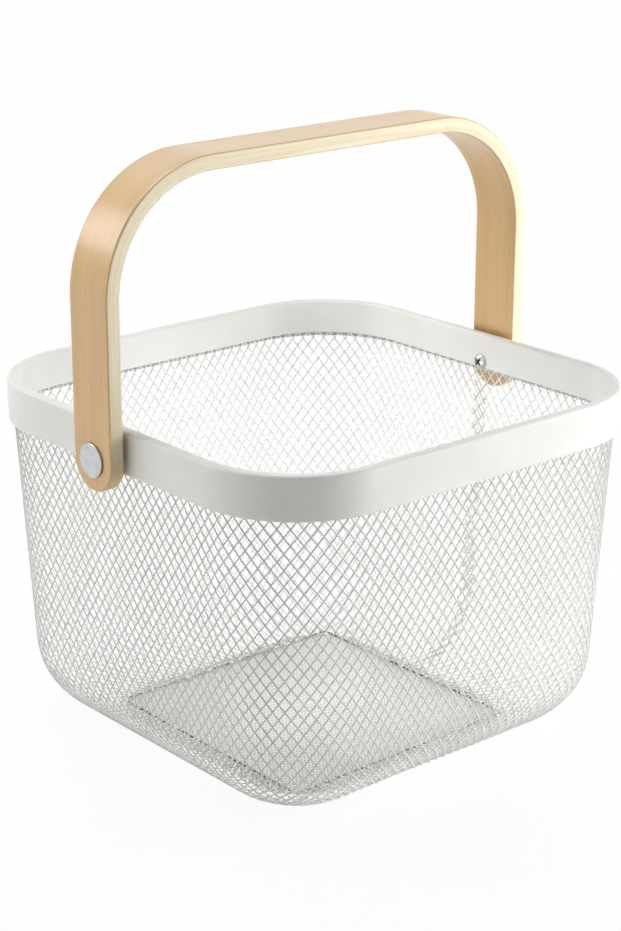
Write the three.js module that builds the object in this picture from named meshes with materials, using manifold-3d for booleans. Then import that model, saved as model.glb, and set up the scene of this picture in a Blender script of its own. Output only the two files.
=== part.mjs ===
// A wire mesh basket with a folded steel rim and a swinging bentwood handle.
// Millimetres, +Z up, origin on the floor under the middle of the basket.
// The handle spans the basket along X and turns about an X axis through the two pivots.
import * as THREE from "three";
import { mergeVertices } from "three/addons/utils/BufferGeometryUtils.js";
import Module from "manifold-3d";

const wasm = await Module();
wasm.setup();

// Rim: one strip of sheet steel folded over the top edge of the mesh
const RIM_SIDE = 245; // square, over the outer faces
const RIM_HEIGHT = 180; // floor to the top of the fold
const RIM_CORNER = 54; // outer radius of the rim's corners
const BAND_HEIGHT = 21; // outer leaf
const INNER_LEAF = 18.5; // inner leaf, a little shorter
const FOLD_WIDTH = 5.5; // across both leaves
const FOLD_EDGE = 1.5; // radius of the fold's two edges; its top is flat between them
const SHEET = 0.8;

// Walls: two layers of slanting wires, welded where they cross
const BEND_RADIUS = 40; // where the walls turn in under the basket
const FOOT_CORNER = 20; // corner radius of the turned-in edge
const MESH_DROP = 6; // top edge of the mesh below the top of the fold
const WIRE_WIDTH = 1.2; // measured level, along the wall
const WIRE_RISE = 0.9; // measured through the wall
const WIRES_PER_SIDE = 15; // of each layer
const WALL_ROWS = 6; // rows of mesh from the band to the bend
const BEND_ROWS = 4; // rows round the bend

// Base: a flat sheet of the same mesh under the turned-in edge
const BASE_SIDE = 155;
const BASE_CORNER = 30;
const BASE_LAP = 6; // how far the base reaches out past the turned-in edge above it
const BASE_PITCH = 11.5; // between wires, square to them
const BASE_ANGLE = THREE.MathUtils.degToRad(53); // from the X axis

// Handle: a strip of bent wood
const HANDLE_WIDTH = 28.5;
const HANDLE_THICK = 7.5;
const HANDLE_RISE = 121; // top of the handle above the rim
const HANDLE_BEND = 61; // outer radius of the two bends
const HANDLE_TAIL = 15; // pivot to the round end of each leg
const EDGE_ROUND = 0.8;

// Pivots: a capped barrel nut outside, a screw inside, and a spacer washer between leg and band
const PIVOT_DROP = 14.5; // pivot below the top of the rim
const CAP_DIAMETER = 16.5;
const CAP_EDGE = 0.6; // straight edge of the cap below its dome
const CAP_DOME = 1.2;
const BARREL_DIAMETER = 6;
const SCREW_DIAMETER = 4;
const SCREW_REACH = 5; // into the barrel
const SCREW_HEAD_DIAMETER = 8;
const SCREW_HEAD_RISE = 2.4;
const WASHER_DIAMETER = 14;
const WASHER_THICK = 1.9;

const GAP = 0.3; // between pieces that touch
const LAYER_GAP = 0.3; // between the two layers of wires

// Facets
const CORNER_STEPS = 6;
const FOLD_STEPS = 1;
const BEND_STEPS = 6;
const ROUND_STEPS = 20;

// Sizes that follow from those above
const rimHalf = RIM_SIDE / 2;
const bandBottom = RIM_HEIGHT - BAND_HEIGHT;
const pivotZ = RIM_HEIGHT - PIVOT_DROP;
const layerReach = LAYER_GAP / 2 + WIRE_RISE; // from the middle of the mesh to a wire's crown
const cornerRun = (RIM_CORNER * Math.PI) / 4; // round half a corner of the rim
const cornerShare = cornerRun / (rimHalf - RIM_CORNER + cornerRun);
const wireTurn = Math.PI / 2 / (cornerShare * WIRES_PER_SIDE); // round a corner, from wire to wire
const wireChord = RIM_CORNER * (1 - Math.cos(wireTurn / 2)); // a straight stretch of wire cuts the corner
const bandChord = RIM_CORNER * (1 - Math.cos(Math.PI / 4 / CORNER_STEPS)); // and so does a facet of the band
const meshInset = (FOLD_WIDTH + bandChord - wireChord) / 2; // midway in the room between the leaves
const meshCorner = RIM_CORNER - meshInset;
const baseTop = 2 * WIRE_RISE + LAYER_GAP;
const footZ = baseTop + GAP + layerReach;
const footInset = rimHalf - BASE_SIDE / 2 + BASE_LAP;
const wireCount = 4 * WIRES_PER_SIDE;
const legInner = rimHalf + GAP + WASHER_THICK + GAP;
const legOuter = legInner + HANDLE_THICK;
const handleTop = RIM_HEIGHT + HANDLE_RISE;
const barrelBore = SCREW_DIAMETER / 2 + GAP;
const pivotBore = BARREL_DIAMETER / 2 + GAP;

const powderCoat = new THREE.MeshStandardMaterial({ color: 0xe6e4de, roughness: 0.5, metalness: 0.1 });
const birch = new THREE.MeshStandardMaterial({ color: 0xcba878, roughness: 0.6, metalness: 0 });
const brightSteel = new THREE.MeshStandardMaterial({ color: 0xc4c4c0, roughness: 0.3, metalness: 1 });
const greyNylon = new THREE.MeshStandardMaterial({ color: 0x8c8c88, roughness: 0.7, metalness: 0 });

// A geometry as a solid that can be joined and cut.
function solid(geometry) {
  const bare = new THREE.BufferGeometry();
  bare.setAttribute("position", geometry.getAttribute("position"));
  bare.setIndex(geometry.getIndex());
  const merged = mergeVertices(bare, 1e-4);
  return new wasm.Manifold(
    new wasm.Mesh({
      numProp: 3,
      vertProperties: merged.getAttribute("position").array,
      triVerts: new Uint32Array(merged.getIndex().array),
    }),
  );
}

// The other way round: a joined or cut solid as a geometry.
function surface(body) {
  const { vertProperties, triVerts } = body.getMesh();
  const geometry = new THREE.BufferGeometry();
  geometry.setAttribute("position", new THREE.BufferAttribute(vertProperties, 3));
  geometry.setIndex(new THREE.BufferAttribute(triVerts, 1));
  geometry.computeVertexNormals();
  return geometry;
}

function piece(name, geometry, material) {
  const mesh = new THREE.Mesh(geometry, material);
  mesh.name = name;
  return mesh;
}

// A round bar along X, centred on the pivots' height.
function barAlongX(radius, length) {
  const bar = new THREE.CylinderGeometry(radius, radius, length, ROUND_STEPS);
  return bar.rotateZ(Math.PI / 2).translate(0, 0, pivotZ);
}

// A place on a rounded square seen from above. Fraction 0 is the middle of the +X side, and the way
// round is counter-clockwise. Sides and corners keep the shares of the loop that they have at the rim,
// so a wire keeps its place on a side while the walls draw in.
const sideShare = (rimHalf - RIM_CORNER) / (rimHalf - RIM_CORNER + (meshCorner * Math.PI) / 4);

function onLoop(fraction, half, corner) {
  const side = Math.round(fraction * 4);
  const along = (fraction * 4 - side) * 2;
  const straight = half - corner;
  const reach = Math.abs(along);
  const past = Math.max(reach - sideShare, 0) / (1 - sideShare);
  const angle = (Math.sign(along) * past * Math.PI) / 4;
  const level = Math.sign(along) * straight * Math.min(reach / sideShare, 1);
  const point = new THREE.Vector2(straight + corner * Math.cos(angle), level + corner * Math.sin(angle));
  const outward = new THREE.Vector2(Math.cos(angle), Math.sin(angle));
  const turn = (side * Math.PI) / 2;
  const middle = new THREE.Vector2();
  return { point: point.rotateAround(middle, turn), outward: outward.rotateAround(middle, turn) };
}

// A flat outline carried round a rounded square: outline x is measured in from the outer face, y is height.
function sweptLoop(outline, half, corner) {
  const fractions = [];
  for (let side = 0; side < 4; side++) {
    for (let step = 0; step <= CORNER_STEPS; step++) {
      const across = sideShare / 2 + (1 - sideShare) * (step / CORNER_STEPS);
      fractions.push((side + across) / 4);
    }
  }
  const positions = [];
  const faces = [];
  const count = outline.length;
  fractions.forEach((fraction, station) => {
    const next = (station + 1) % fractions.length;
    outline.forEach(({ x, y }, k) => {
      const { point } = onLoop(fraction, half - x, corner - x);
      positions.push(point.x, point.y, y);
      const after = (k + 1) % count;
      const [a, b] = [station * count + k, station * count + after];
      const [c, d] = [next * count + after, next * count + k];
      faces.push(a, b, c, a, c, d);
    });
  });
  return indexed(positions, faces);
}

function indexed(positions, faces) {
  const geometry = new THREE.BufferGeometry();
  geometry.setAttribute("position", new THREE.Float32BufferAttribute(positions, 3));
  geometry.setIndex(faces);
  geometry.computeVertexNormals();
  return geometry;
}

// The rim's section: up the outer leaf, over the fold and down the inner leaf, then back inside.
function rimBand() {
  const foldZ = RIM_HEIGHT - FOLD_EDGE;
  const farEdge = FOLD_WIDTH - FOLD_EDGE;
  const innerBottom = RIM_HEIGHT - INNER_LEAF;
  const section = new THREE.Path();
  section.moveTo(0, bandBottom);
  section.lineTo(SHEET, bandBottom);
  section.lineTo(SHEET, foldZ);
  section.absarc(FOLD_EDGE, foldZ, FOLD_EDGE - SHEET, Math.PI, Math.PI / 2, true);
  section.absarc(farEdge, foldZ, FOLD_EDGE - SHEET, Math.PI / 2, 0, true);
  section.lineTo(FOLD_WIDTH - SHEET, innerBottom);
  section.lineTo(FOLD_WIDTH, innerBottom);
  section.lineTo(FOLD_WIDTH, foldZ);
  section.absarc(farEdge, foldZ, FOLD_EDGE, 0, Math.PI / 2, false);
  section.absarc(FOLD_EDGE, foldZ, FOLD_EDGE, Math.PI / 2, Math.PI, false);
  const band = solid(sweptLoop(section.getPoints(FOLD_STEPS), rimHalf, RIM_CORNER));
  const screwHoles = solid(barAlongX(SCREW_DIAMETER / 2 + GAP, 2 * RIM_SIDE));
  return surface(band.subtract(screwHoles));
}

// The middle surface of the wall from the top edge of the mesh to its turned-in edge, as rows:
// how far in from the rim, how high, and how far the outward direction has turned down.
// The wall leans in from the band until it meets the bend, which ends level over the base.
function wallRows() {
  const meshTop = RIM_HEIGHT - MESH_DROP;
  const centreZ = footZ + BEND_RADIUS;
  const across = footInset - meshInset;
  const drop = bandBottom - centreZ;
  const length = Math.sqrt(across * across + drop * drop - BEND_RADIUS * BEND_RADIUS);
  const lean = Math.atan2(across, drop) - Math.atan2(BEND_RADIUS, length);
  const rows = [
    { inset: meshInset, z: meshTop, down: 0 },
    { inset: meshInset, z: bandBottom, down: 0 },
  ];
  for (let row = 1; row <= WALL_ROWS; row++) {
    const run = (length * row) / WALL_ROWS;
    rows.push({ inset: meshInset + run * Math.sin(lean), z: bandBottom - run * Math.cos(lean), down: lean });
  }
  for (let row = 1; row <= BEND_ROWS; row++) {
    const down = lean + ((Math.PI / 2 - lean) * row) / BEND_ROWS;
    const inset = footInset - BEND_RADIUS * Math.cos(down);
    rows.push({ inset, z: centreZ - BEND_RADIUS * Math.sin(down), down });
  }
  return rows;
}

const rows = wallRows();
const top = rows[0];
const foot = rows[rows.length - 1];

// A point near the wall's middle surface, lifted off it by rise and moved level along it by shift.
function onWall(fraction, { inset, z, down }, rise, shift = 0) {
  const drawnIn = (inset - meshInset) / (foot.inset - meshInset);
  const corner = meshCorner + (FOOT_CORNER - meshCorner) * drawnIn;
  const { point, outward } = onLoop(fraction, rimHalf - inset, corner);
  const level = rise * Math.cos(down);
  return [
    point.x + outward.x * level - outward.y * shift,
    point.y + outward.y * level + outward.x * shift,
    z - rise * Math.sin(down),
  ];
}

// One layer of the wall. Its wires slant to one hand, a pitch to each row, and end in a hoop at the top
// and another at the foot. A wire is three-sided: a flat back towards the other layer, and a crown.
// Inside the band they slant so that the screws pass midway between two of them.
function wallLayer(hand, side) {
  const back = (side * LAYER_GAP) / 2;
  const crown = side * layerReach;
  const half = WIRE_WIDTH / 2;
  const last = rows.length - 1;
  const bandShift = (0.5 * (top.z - bandBottom)) / (top.z - pivotZ);
  const upperEdge = { ...top, z: top.z + WIRE_WIDTH };
  const lowerEdge = { ...foot, inset: foot.inset + WIRE_WIDTH };
  const perWire = 3 * rows.length + 2;
  const positions = [];
  const faces = [];
  const face = (...corners) => {
    const ring = side > 0 ? corners : corners.reverse();
    for (let k = 2; k < ring.length; k++) faces.push(ring[0], ring[k - 1], ring[k]);
  };
  for (let wire = 0; wire < wireCount; wire++) {
    const at = (row) => (wire + hand * Math.min(row, 1) * (bandShift + row - 1)) / wireCount;
    rows.forEach((row, k) => {
      positions.push(...onWall(at(k), row, back, -half));
      positions.push(...onWall(at(k), row, crown));
      positions.push(...onWall(at(k), row, back, half));
    });
    positions.push(...onWall(at(0), upperEdge, back));
    positions.push(...onWall(at(last), lowerEdge, back));

    const start = wire * perWire;
    const right = ((wire + 1) % wireCount) * perWire;
    const [left, ridge, edge] = [start, start + 1, start + 2];
    for (let k = 0; k < last; k++) {
      const [a, b] = [3 * k, 3 * k + 3];
      face(left + b, ridge + b, ridge + a, left + a);
      face(ridge + b, edge + b, edge + a, ridge + a);
      face(edge + b, left + b, left + a, edge + a);
    }
    const upper = start + perWire - 2;
    const upperRight = right + perWire - 2;
    face(edge, right, right + 1, ridge);
    face(ridge, right + 1, upperRight, upper);
    face(upper, upperRight, right, edge);
    face(upper, edge, left);
    const end = 3 * last;
    const lower = start + perWire - 1;
    const lowerRight = right + perWire - 1;
    face(ridge + end, right + 1 + end, right + end, edge + end);
    face(lower, lowerRight, right + 1 + end, ridge + end);
    face(edge + end, right + end, lowerRight, lower);
    face(left + end, edge + end, lower);
  }
  return indexed(positions, faces);
}

function roundedSquare(half, corner) {
  const shape = new THREE.Shape();
  const straight = half - corner;
  shape.absarc(straight, -straight, corner, -Math.PI / 2, 0, false);
  shape.absarc(straight, straight, corner, 0, Math.PI / 2, false);
  shape.absarc(-straight, straight, corner, Math.PI / 2, Math.PI, false);
  shape.absarc(-straight, -straight, corner, Math.PI, Math.PI * 1.5, false);
  return shape;
}

// One layer of the base: straight wires at an angle to X, ending in a border wire, with a flat underside.
function baseLayer(angle, floor) {
  const half = BASE_SIDE / 2;
  const ceiling = floor + WIRE_RISE;
  const border = [
    new THREE.Vector2(0, floor),
    new THREE.Vector2(WIRE_WIDTH, floor),
    new THREE.Vector2(WIRE_WIDTH, ceiling),
    new THREE.Vector2(0, ceiling),
  ];
  const trim = WIRE_WIDTH / 2;
  const inside = new THREE.ExtrudeGeometry(roundedSquare(half - trim, BASE_CORNER - trim), {
    depth: 2 * ceiling,
    bevelEnabled: false,
    curveSegments: CORNER_STEPS / 2,
  });
  const straight = half - BASE_CORNER;
  const reach = straight * (Math.abs(Math.cos(angle)) + Math.abs(Math.sin(angle))) + BASE_CORNER;
  const beside = Math.floor((reach - WIRE_WIDTH) / BASE_PITCH);
  let wires = solid(sweptLoop(border, half, BASE_CORNER));
  const limit = solid(inside);
  for (let k = -beside; k <= beside; k++) {
    const wire = new THREE.BoxGeometry(3 * BASE_SIDE, WIRE_WIDTH, WIRE_RISE);
    wire.translate(0, k * BASE_PITCH, floor + WIRE_RISE / 2).rotateZ(angle);
    wires = wires.add(solid(wire).intersect(limit));
  }
  return surface(wires);
}

// The handle: an arch drawn from the front, carried through its width, with round ends to the legs.
function bentHandle() {
  const endZ = pivotZ - HANDLE_TAIL;
  const bendZ = handleTop - HANDLE_BEND;
  const bendX = legOuter - HANDLE_BEND;
  const innerBend = HANDLE_BEND - HANDLE_THICK;
  const arch = new THREE.Shape();
  arch.moveTo(legInner, endZ);
  arch.lineTo(legOuter, endZ);
  arch.absarc(bendX, bendZ, HANDLE_BEND, 0, Math.PI / 2, false);
  arch.absarc(-bendX, bendZ, HANDLE_BEND, Math.PI / 2, Math.PI, false);
  arch.lineTo(-legOuter, endZ);
  arch.lineTo(-legInner, endZ);
  arch.absarc(-bendX, bendZ, innerBend, Math.PI, Math.PI / 2, true);
  arch.absarc(bendX, bendZ, innerBend, Math.PI / 2, 0, true);
  const strip = new THREE.ExtrudeGeometry(arch, {
    depth: HANDLE_WIDTH - 2 * EDGE_ROUND,
    bevelThickness: EDGE_ROUND,
    bevelSize: EDGE_ROUND,
    bevelOffset: -EDGE_ROUND,
    bevelSegments: 2,
    curveSegments: BEND_STEPS,
  });
  strip.translate(0, 0, EDGE_ROUND - HANDLE_WIDTH / 2).rotateX(Math.PI / 2);

  const endRadius = HANDLE_WIDTH / 2;
  const roundZ = endZ + endRadius;
  const blank = new THREE.BoxGeometry(2 * RIM_SIDE, 2 * HANDLE_WIDTH, HANDLE_WIDTH);
  blank.translate(0, 0, roundZ - HANDLE_WIDTH / 2);
  const round = barAlongX(endRadius, 3 * RIM_SIDE).translate(0, 0, roundZ - pivotZ);
  const cutter = solid(blank).subtract(solid(round));
  const pivotHole = solid(barAlongX(pivotBore, 2 * RIM_SIDE));
  return surface(solid(strip).subtract(cutter).subtract(pivotHole));
}

// A turned piece whose axis is X: profile x is the radius, y the place along X.
function turned(profile) {
  const points = profile.map(([radius, along]) => new THREE.Vector2(radius, along));
  return new THREE.LatheGeometry(points, ROUND_STEPS).rotateZ(-Math.PI / 2).translate(0, 0, pivotZ);
}

function capNut() {
  const barrelEnd = rimHalf + GAP;
  const boreEnd = barrelEnd + SCREW_REACH + GAP;
  const seat = legOuter + GAP;
  const rim = CAP_DIAMETER / 2;
  const edge = seat + CAP_EDGE;
  return turned([
    [0, boreEnd],
    [barrelBore, boreEnd],
    [barrelBore, barrelEnd],
    [BARREL_DIAMETER / 2, barrelEnd],
    [BARREL_DIAMETER / 2, seat],
    [rim, seat],
    [rim, edge],
    [rim * Math.cos(Math.PI / 6), edge + CAP_DOME * Math.sin(Math.PI / 6)],
    [rim * Math.cos(Math.PI / 3), edge + CAP_DOME * Math.sin(Math.PI / 3)],
    [0, edge + CAP_DOME],
  ]);
}

function panScrew() {
  const seat = rimHalf - FOLD_WIDTH - GAP;
  const tip = rimHalf + GAP + SCREW_REACH;
  const rim = SCREW_HEAD_DIAMETER / 2;
  const face = seat - SCREW_HEAD_RISE;
  return turned([
    [0, face],
    [rim / 2, face],
    [rim * Math.cos(Math.PI / 6), face + SCREW_HEAD_RISE / 4],
    [rim, face + SCREW_HEAD_RISE / 2],
    [rim, seat],
    [SCREW_DIAMETER / 2, seat],
    [SCREW_DIAMETER / 2, tip],
    [0, tip],
  ]);
}

function spacerWasher() {
  const inner = rimHalf + GAP;
  const outer = inner + WASHER_THICK;
  const rim = WASHER_DIAMETER / 2;
  return turned([
    [pivotBore, inner],
    [rim, inner],
    [rim, outer],
    [pivotBore, outer],
    [pivotBore, inner],
  ]);
}

// The pieces of one pivot, on the +X side or turned half round to the -X side.
function pivotSet(name, turn) {
  const set = new THREE.Group();
  set.add(piece(name + "_cap_nut", capNut(), brightSteel));
  set.add(piece(name + "_screw", panScrew(), brightSteel));
  set.add(piece(name + "_spacer_washer", spacerWasher(), greyNylon));
  set.rotation.z = turn;
  return set;
}

const basket = new THREE.Group();
basket.add(piece("rim_band", rimBand(), powderCoat));
basket.add(piece("wall_wires_outer", wallLayer(1, 1), powderCoat));
basket.add(piece("wall_wires_inner", wallLayer(-1, -1), powderCoat));
basket.add(piece("base_wires_lower", baseLayer(BASE_ANGLE, 0), powderCoat));
basket.add(piece("base_wires_upper", baseLayer(-BASE_ANGLE, WIRE_RISE + LAYER_GAP), powderCoat));
basket.add(piece("handle", bentHandle(), birch));
basket.add(pivotSet("right", 0));
basket.add(pivotSet("left", Math.PI));

export default basket;
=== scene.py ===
"""Looks of a wire mesh basket with a folded steel rim and a swinging bent wood handle.

Metres, +Z up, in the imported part's own frame: the origin is on the floor under the middle of the
basket, and the handle spans it along X.
"""

import logging
import math
from dataclasses import dataclass
from enum import Enum
from typing import Any, Mapping, Optional, Sequence, Tuple, Union

import bpy
import numpy as np
from mathutils import Matrix, Vector


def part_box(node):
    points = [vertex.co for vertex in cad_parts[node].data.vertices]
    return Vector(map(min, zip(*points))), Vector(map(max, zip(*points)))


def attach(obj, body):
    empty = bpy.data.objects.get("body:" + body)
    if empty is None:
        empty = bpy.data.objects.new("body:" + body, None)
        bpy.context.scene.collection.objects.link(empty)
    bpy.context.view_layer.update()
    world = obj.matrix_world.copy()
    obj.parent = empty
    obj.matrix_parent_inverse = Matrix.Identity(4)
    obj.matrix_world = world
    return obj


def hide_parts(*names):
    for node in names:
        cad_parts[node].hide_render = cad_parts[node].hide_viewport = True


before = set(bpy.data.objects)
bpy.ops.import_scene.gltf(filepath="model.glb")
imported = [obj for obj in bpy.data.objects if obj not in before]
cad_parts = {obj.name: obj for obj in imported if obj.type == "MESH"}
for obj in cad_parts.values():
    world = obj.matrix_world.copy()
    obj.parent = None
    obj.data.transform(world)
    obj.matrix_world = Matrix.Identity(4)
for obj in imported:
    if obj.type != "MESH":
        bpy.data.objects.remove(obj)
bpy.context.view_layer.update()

Array = np.ndarray
Colour = Tuple[float, float, float]
Triple = Tuple[float, float, float]

log = logging.getLogger("basket")

MM = 0.001
PHOTO_WIDTH = 621  # pixels
PHOTO_HEIGHT = 931
LOOK_DROP = 47.8 * MM  # the camera looks at a spot this far below the top of the rim
WIRE_SIDES = 6  # two quads close a wire's end
HOOP_SIDES = 8
TURNED_STEPS = 72
WELD_STEP = 1e-6
MIDDLE = 0.5  # of a noise's range


class Body(Enum):
    """The two bodies that pieces ride on."""

    BASKET = "basket"
    HANDLE = "handle"


class Slot(Enum):
    """The record's material slots."""

    POWDER_COAT = "powder_coat"
    BIRCH = "birch"
    BRIGHT_STEEL = "bright_steel"
    NYLON = "nylon"


class Slant(Enum):
    """Which way a layer's wires run as they go down, seen from outside."""

    TO_RIGHT = 1
    TO_LEFT = -1


class Side(Enum):
    """The two pivots."""

    RIGHT = 1
    LEFT = -1


# Shader graphs


class Signal:
    """A shader socket that takes part in arithmetic; each operator adds one Math node."""

    def __init__(self, graph: "Graph", socket: Optional[bpy.types.NodeSocket]) -> None:
        """Wraps a socket of a graph."""
        self.graph = graph
        self.socket = socket

    def __add__(self, other: "Operand") -> "Signal":
        """self + other."""
        return self.graph.math("ADD", self, other)

    def __radd__(self, other: "Operand") -> "Signal":
        """other + self."""
        return self.graph.math("ADD", other, self)

    def __sub__(self, other: "Operand") -> "Signal":
        """self - other."""
        return self.graph.math("SUBTRACT", self, other)

    def __rsub__(self, other: "Operand") -> "Signal":
        """other - self."""
        return self.graph.math("SUBTRACT", other, self)

    def __mul__(self, other: "Operand") -> "Signal":
        """self * other."""
        return self.graph.math("MULTIPLY", self, other)

    def __rmul__(self, other: "Operand") -> "Signal":
        """other * self."""
        return self.graph.math("MULTIPLY", other, self)


Operand = Union[Signal, float, int]
Input = Union[Signal, float, int, Sequence[float]]


class Graph:
    """The node tree of one material, or of the world."""

    def __init__(self, tree: bpy.types.NodeTree) -> None:
        """Starts an empty tree."""
        self.tree = tree
        tree.nodes.clear()

    def node(
        self,
        kind: str,
        settings: Optional[Mapping[str, Any]] = None,
        inputs: Optional[Mapping[Union[str, int], Input]] = None,
        output: Union[str, int] = 0,
    ) -> Signal:
        """Adds a node.

        Args:
            kind: the node's type name.
            settings: its properties, set first.
            inputs: values or signals for its sockets, by name or number.
            output: the socket to hand back, by name or number.

        Returns:
            The chosen output, or an empty signal where the node has none.
        """
        made = self.tree.nodes.new(kind)
        for name, value in (settings or {}).items():
            setattr(made, name, value)
        for key, value in (inputs or {}).items():
            if isinstance(value, Signal):
                self.tree.links.new(value.socket, made.inputs[key])
            else:
                made.inputs[key].default_value = value
        return Signal(self, made.outputs[output] if made.outputs else None)

    def math(self, operation: str, first: Operand, second: Operand = 0.0) -> Signal:
        """The result of a Math node; an operation on one value takes no notice of the second."""
        return self.node("ShaderNodeMath", {"operation": operation}, {0: first, 1: second})

    def attribute(self, name: str, output: str = "Fac") -> Signal:
        """What the mesh carries under a name, or 0 where it carries nothing."""
        return self.node("ShaderNodeAttribute", {"attribute_name": name}, output=output)

    def place(self, scale: Triple = (1.0, 1.0, 1.0), offset: Triple = (0.0, 0.0, 0.0)) -> Signal:
        """Object coordinates, scaled axis by axis and then moved by an offset."""
        return self.stretch(self.node("ShaderNodeTexCoord", output="Object"), scale, offset)

    def stretch(self, vector: Signal, scale: Triple, offset: Triple = (0.0, 0.0, 0.0)) -> Signal:
        """A vector scaled axis by axis and then moved by an offset."""
        inputs = {0: vector, 1: scale, 2: offset}
        return self.node("ShaderNodeVectorMath", {"operation": "MULTIPLY_ADD"}, inputs)

    def length(self, vector: Signal) -> Signal:
        """How long a vector is."""
        return self.node("ShaderNodeVectorMath", {"operation": "LENGTH"}, {0: vector}, "Value")

    def noise(self, vector: Signal, scale: float, detail: float, roughness: float = 0.5) -> Signal:
        """Smooth noise, about 0 to 1: scale is per unit of the vector, roughness weighs the finer octaves."""
        inputs = {"Vector": vector, "Scale": scale, "Detail": detail, "Roughness": roughness}
        return self.node("ShaderNodeTexNoise", None, inputs, "Fac")

    def ramp(self, value: Signal, low: float, high: float) -> Signal:
        """A value carried from low..high to 0..1, smoothly, with no overshoot."""
        inputs = {"Value": value, "From Min": low, "From Max": high}
        return self.node("ShaderNodeMapRange", {"interpolation_type": "SMOOTHSTEP"}, inputs)

    def mix(self, share: Signal, first: Union[Signal, Colour], second: Union[Signal, Colour]) -> Signal:
        """A blend of two colours.

        Args:
            share: 0 gives the first, 1 the second.
            first: a colour.
            second: a colour.

        Returns:
            The blended colour.
        """
        inputs: dict = {0: share}
        for key, colour in ((6, first), (7, second)):
            inputs[key] = colour if isinstance(colour, Signal) else (*colour, 1.0)
        return self.node("ShaderNodeMix", {"data_type": "RGBA"}, inputs, 2)

    def bump(self, height: Signal, strength: float, distance: float) -> Signal:
        """The normal tilted by a height, where 1 stands a distance proud."""
        inputs = {"Strength": strength, "Distance": distance, "Height": height}
        return self.node("ShaderNodeBump", None, inputs, "Normal")

    def surface(self, shader: Signal) -> None:
        """Makes a shader the surface of the material."""
        self.node("ShaderNodeOutputMaterial", None, {"Surface": shader})

    def principled(self, inputs: Mapping[Union[str, int], Input]) -> None:
        """Makes a Principled shader with these inputs the surface of the material."""
        self.surface(self.node("ShaderNodeBsdfPrincipled", None, inputs))


def new_material(name: str) -> Tuple[bpy.types.Material, Graph]:
    """An empty node material.

    Args:
        name: the material's name.

    Returns:
        The material and its graph.
    """
    material = bpy.data.materials.new(name)
    material.use_nodes = True
    return material, Graph(material.node_tree)


# Finishes


@dataclass(frozen=True)
class PowderCoat:
    """Satin powder coat on steel, with the faint orange peel that it sets with.

    The mesh may carry "bare", 1 inside the rim's fold, where a dark colour is painted on as the shade that
    falls there, and "thick", 1 on the side of the wires that faces into the basket, which is painted whiter
    as light, with the outward side greyer as painted shade.
    """

    name: str
    pale: Colour = (0.80, 0.80, 0.775)
    dull: Colour = (0.755, 0.75, 0.72)
    painted_shade: Colour = (0.52, 0.51, 0.485)
    white: Colour = (0.86, 0.86, 0.845)
    roughness: float = 0.42
    cloud_gloss: float = 0.10
    peel_gloss: float = 0.06
    clouds_per_metre: float = 22.0
    peel_size: float = 1.6 * MM
    peel_height: float = 0.012 * MM
    peel_strength: float = 0.6

    def material(self) -> bpy.types.Material:
        """The coat as a material: cloudy colour and gloss, a fine bump, painted shade inside the fold, and
        painted light and shade on the two sides of the wires.
        """
        material, graph = new_material(self.name)
        place = graph.place()
        cloud = graph.noise(place, self.clouds_per_metre, 3.0)
        peel = graph.noise(place, 1 / self.peel_size, 1.5)
        coat = graph.mix(graph.ramp(cloud, 0.3, 0.7), self.pale, self.dull)
        # painted light and shade: the side of a wire facing into the basket is painted whiter, the side
        # facing out greyer
        coat = graph.mix(graph.ramp(graph.attribute("painted_lit_side"), 0.3, 0.7), coat, self.white)
        gloss = self.cloud_gloss * (cloud - MIDDLE) + self.peel_gloss * (peel - MIDDLE)
        graph.principled(
            {
                # painted shade: the colour goes dark inside the rim's fold, where shadow falls
                "Base Color": graph.mix(graph.attribute("painted_shade"), coat, self.painted_shade),
                "Roughness": self.roughness + gloss,
                "Normal": graph.bump(peel, self.peel_strength, self.peel_height),
            }
        )
        return material


@dataclass(frozen=True)
class SeamCoat:
    """Powder coat along a cut edge of the mesh, with dark specks painted on as the shade in the gaps along
    it.
    """

    name: str
    pale: Colour = (0.70, 0.70, 0.67)
    painted_shade: Colour = (0.10, 0.095, 0.085)
    roughness: float = 0.5
    speck_roughness: float = 0.3
    speck_size: float = 2.2 * MM
    groups_per_metre: float = 26.0
    lone_speck: float = 0.55

    def material(self) -> bpy.types.Material:
        """The edge as a material: dark specks, darkest in long groups."""
        material, graph = new_material(self.name)
        place = graph.place()
        specks = graph.ramp(graph.noise(place, 1 / self.speck_size, 0.0), 0.36, 0.54)
        groups = graph.ramp(graph.noise(place, self.groups_per_metre, 1.0), 0.38, 0.62)
        # painted shade: dark specks, darkest in long groups, stand for the shadow in the gaps along the cut
        # edge
        shade_specks = specks * (self.lone_speck + (1 - self.lone_speck) * groups)
        graph.principled(
            {
                "Base Color": graph.mix(shade_specks, self.pale, self.painted_shade),
                "Roughness": self.roughness + self.speck_roughness * shade_specks,
            }
        )
        return material


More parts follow.
